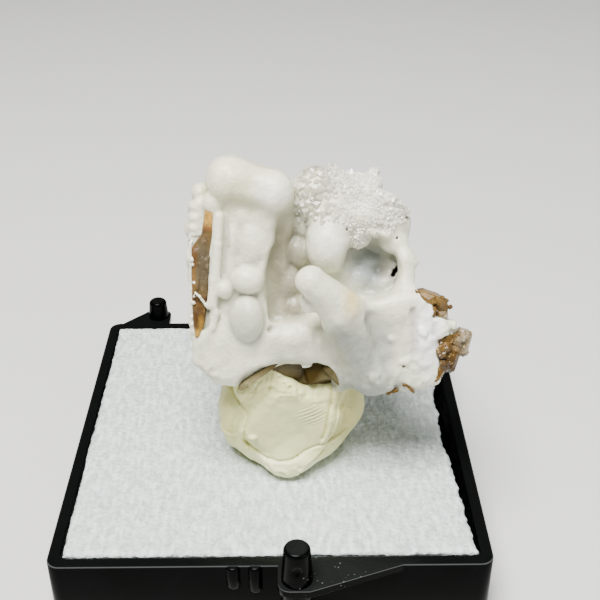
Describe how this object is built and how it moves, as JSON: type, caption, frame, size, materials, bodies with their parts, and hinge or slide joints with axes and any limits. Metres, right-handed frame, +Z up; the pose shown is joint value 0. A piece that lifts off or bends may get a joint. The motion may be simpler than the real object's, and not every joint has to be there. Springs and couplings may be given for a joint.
{
  "type": "barite mineral specimen in a small display box base",
  "caption": "Barite blades under a thick white quartz crust with a drusy top, fixed with cream putty on the foam of a small black box base.",
  "frame": {"origin": "centre of the box base's underside, midway between its front and back flanges", "axes": "+Z up, +X to the right and +Y to the back as seen from the front, where the camera of the picture stands"},
  "size_m": [0.053, 0.061, 0.0497],
  "materials": {
    "black_plastic": "gloss",
    "foam_white": "matt",
    "putty_cream": "satin",
    "quartz_white": "satin",
    "barite_brown": "gloss"
  },
  "bodies": {
    "root": {"box_base": "black_plastic", "foam_pad": "foam_white", "putty_lump": "putty_cream", "quartz_crust": "quartz_white", "barite_blade_left": "barite_brown", "barite_crystals_upper": "barite_brown", "barite_crystals_lower": "barite_brown", "barite_blade_foot": "barite_brown", "barite_core": "barite_brown"}
  },
  "joints": []
}
